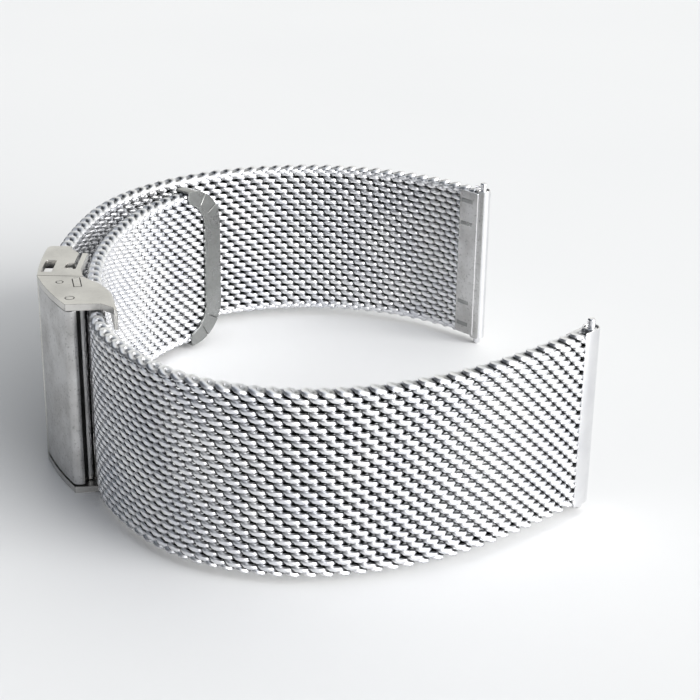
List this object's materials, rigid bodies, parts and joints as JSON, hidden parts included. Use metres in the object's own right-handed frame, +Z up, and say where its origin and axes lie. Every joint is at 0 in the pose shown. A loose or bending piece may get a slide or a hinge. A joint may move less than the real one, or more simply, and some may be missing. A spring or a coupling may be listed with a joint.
{
  "type": "milanese mesh watch band",
  "caption": "Woven steel mesh watch band, closed in a loop by a sliding hook clasp with a locking lever; spring bars at both open ends.",
  "frame": {"origin": "middle of the standing band's box in plan, on the surface it stands on", "axes": "+Z up along the band's width, +Y from the long strap across to the short strap, -X towards the clasp"},
  "size_m": [0.0654, 0.078, 0.024],
  "materials": {
    "woven_steel": "polished woven wire",
    "satin_steel": "satin",
    "polished_steel": "fine satin",
    "bright_steel": "polished"
  },
  "bodies": {
    "slider": {"upper_side_plate": "polished_steel", "lower_side_plate": "polished_steel", "base_bar": "bright_steel", "hook_bar": "bright_steel", "lever_pin": "bright_steel"},
    "locking_lever": {"locking_lever": "satin_steel"},
    "channel_strap": {"strap_in_clasp": "woven_steel"},
    "hook_half": {"hook_housing": "polished_steel", "hook_plate": "bright_steel", "short_mesh_root": "woven_steel"},
    "front_1": {"front_mesh_1": "woven_steel"},
    "front_2": {"front_mesh_2": "woven_steel"},
    "front_3": {"front_mesh_3": "woven_steel"},
    "front_4": {"front_mesh_4": "woven_steel"},
    "front_5": {"front_mesh_5": "woven_steel"},
    "front_6": {"front_mesh_6": "woven_steel"},
    "front_7": {"front_mesh_7": "woven_steel", "front_end_tube": "bright_steel", "front_bar_barrel": "bright_steel"},
    "tail_1": {"tail_mesh_1": "woven_steel"},
    "tail_2": {"tail_mesh_2": "woven_steel"},
    "tail_3": {"tail_mesh_3": "woven_steel"},
    "tail_4": {"tail_mesh_4": "woven_steel", "tail_end_cap": "bright_steel"},
    "short_1": {"short_mesh_1": "woven_steel"},
    "short_2": {"short_mesh_2": "woven_steel"},
    "short_3": {"short_mesh_3": "woven_steel"},
    "short_4": {"short_mesh_4": "woven_steel"},
    "short_5": {"short_mesh_5": "woven_steel"},
    "short_6": {"short_mesh_6": "woven_steel"},
    "short_7": {"short_mesh_7": "woven_steel"},
    "short_8": {"short_mesh_8": "woven_steel", "short_end_tube": "bright_steel", "short_bar_barrel": "bright_steel"},
    "front_upper_tip": {"front_bar_upper_tip": "bright_steel"},
    "front_lower_tip": {"front_bar_lower_tip": "bright_steel"},
    "short_upper_tip": {"short_bar_upper_tip": "bright_steel"},
    "short_lower_tip": {"short_bar_lower_tip": "bright_steel"}
  },
  "joints": [
    {"name": "size_adjust", "type": "slide", "parent": "slider", "child": "channel_strap", "axis": [-0.1828, 0.9832, 0], "range_m": [-0.007, 0.0005]},
    {"name": "lever_lock", "type": "hinge", "parent": "slider", "child": "locking_lever", "pos_m": [-0.02726, -0.01686, 0.012], "axis": [0, 0, 1], "range_deg": [0, 100]},
    {"name": "hook_release", "type": "slide", "parent": "slider", "child": "hook_half", "axis": [-1, 0, 0], "range_m": [0, 0.003]},
    {"name": "front_flex_1", "type": "hinge", "parent": "channel_strap", "child": "front_1", "pos_m": [-0.02394, -0.01861, 0.012], "axis": [0, 0, 1], "range_deg": [-24.94, 1.5]},
    {"name": "front_flex_2", "type": "hinge", "parent": "front_1", "child": "front_2", "pos_m": [-0.01982, -0.02752, 0.012], "axis": [0, 0, 1], "range_deg": [-21.66, 12]},
    {"name": "front_flex_3", "type": "hinge", "parent": "front_2", "child": "front_3", "pos_m": [-0.01292, -0.03453, 0.012], "axis": [0, 0, 1], "range_deg": [-25.15, 12]},
    {"name": "front_flex_4", "type": "hinge", "parent": "front_3", "child": "front_4", "pos_m": [-0.00368, -0.03785, 0.012], "axis": [0, 0, 1], "range_deg": [-22.02, 12]},
    {"name": "front_flex_5", "type": "hinge", "parent": "front_4", "child": "front_5", "pos_m": [0.00613, -0.03719, 0.012], "axis": [0, 0, 1], "range_deg": [-14.46, 12]},
    {"name": "front_flex_6", "type": "hinge", "parent": "front_5", "child": "front_6", "pos_m": [0.01532, -0.03357, 0.012], "axis": [0, 0, 1], "range_deg": [-11.19, 12]},
    {"name": "front_flex_7", "type": "hinge", "parent": "front_6", "child": "front_7", "pos_m": [0.02338, -0.02785, 0.012], "axis": [0, 0, 1], "range_deg": [-6.29, 12]},
    {"name": "tail_flex_1", "type": "hinge", "parent": "channel_strap", "child": "tail_1", "pos_m": [-0.02575, -0.00888, 0.012], "axis": [0, 0, 1], "range_deg": [-12, 2]},
    {"name": "tail_flex_2", "type": "hinge", "parent": "tail_1", "child": "tail_2", "pos_m": [-0.02655, 0.00097, 0.012], "axis": [0, 0, 1], "range_deg": [-12, 2.5]},
    {"name": "tail_flex_3", "type": "hinge", "parent": "tail_2", "child": "tail_3", "pos_m": [-0.02533, 0.01078, 0.012], "axis": [0, 0, 1], "range_deg": [-12, 3.5]},
    {"name": "tail_flex_4", "type": "hinge", "parent": "tail_3", "child": "tail_4", "pos_m": [-0.02198, 0.02006, 0.012], "axis": [0, 0, 1], "range_deg": [-12, 5]},
    {"name": "short_flex_1", "type": "hinge", "parent": "hook_half", "child": "short_1", "pos_m": [-0.0312, 0.00033, 0.012], "axis": [0, 0, 1], "range_deg": [-2, 7.81]},
    {"name": "short_flex_2", "type": "hinge", "parent": "short_1", "child": "short_2", "pos_m": [-0.03053, 0.0102, 0.012], "axis": [0, 0, 1], "range_deg": [-3, 13.09]},
    {"name": "short_flex_3", "type": "hinge", "parent": "short_2", "child": "short_3", "pos_m": [-0.02834, 0.01983, 0.012], "axis": [0, 0, 1], "range_deg": [-4, 21]},
    {"name": "short_flex_4", "type": "hinge", "parent": "short_3", "child": "short_4", "pos_m": [-0.02321, 0.02824, 0.012], "axis": [0, 0, 1], "range_deg": [-5, 19.77]},
    {"name": "short_flex_5", "type": "hinge", "parent": "short_4", "child": "short_5", "pos_m": [-0.01543, 0.03428, 0.012], "axis": [0, 0, 1], "range_deg": [-12, 17.92]},
    {"name": "short_flex_6", "type": "hinge", "parent": "short_5", "child": "short_6", "pos_m": [-0.00613, 0.03755, 0.012], "axis": [0, 0, 1], "range_deg": [-12, 17.92]},
    {"name": "short_flex_7", "type": "hinge", "parent": "short_6", "child": "short_7", "pos_m": [0.00372, 0.0378, 0.012], "axis": [0, 0, 1], "range_deg": [-12, 18.25]},
    {"name": "short_flex_8", "type": "hinge", "parent": "short_7", "child": "short_8", "pos_m": [0.01317, 0.03498, 0.012], "axis": [0, 0, 1], "range_deg": [-12, 18.25]},
    {"name": "front_upper_tip_travel", "type": "slide", "parent": "front_7", "child": "front_upper_tip", "axis": [0, 0, -1], "range_m": [0, 0.0012], "stiffness_N_per_m": 1500},
    {"name": "front_lower_tip_travel", "type": "slide", "parent": "front_7", "child": "front_lower_tip", "axis": [0, 0, 1], "range_m": [0, 0.0012], "stiffness_N_per_m": 1500},
    {"name": "short_upper_tip_travel", "type": "slide", "parent": "short_8", "child": "short_upper_tip", "axis": [0, 0, -1], "range_m": [0, 0.0012], "stiffness_N_per_m": 1500},
    {"name": "short_lower_tip_travel", "type": "slide", "parent": "short_8", "child": "short_lower_tip", "axis": [0, 0, 1], "range_m": [0, 0.0012], "stiffness_N_per_m": 1500}
  ],
  "couplings": [
    {"joint": "lever_lock", "follows": "hook_release", "rad_per_m": 581.72}
  ]
}
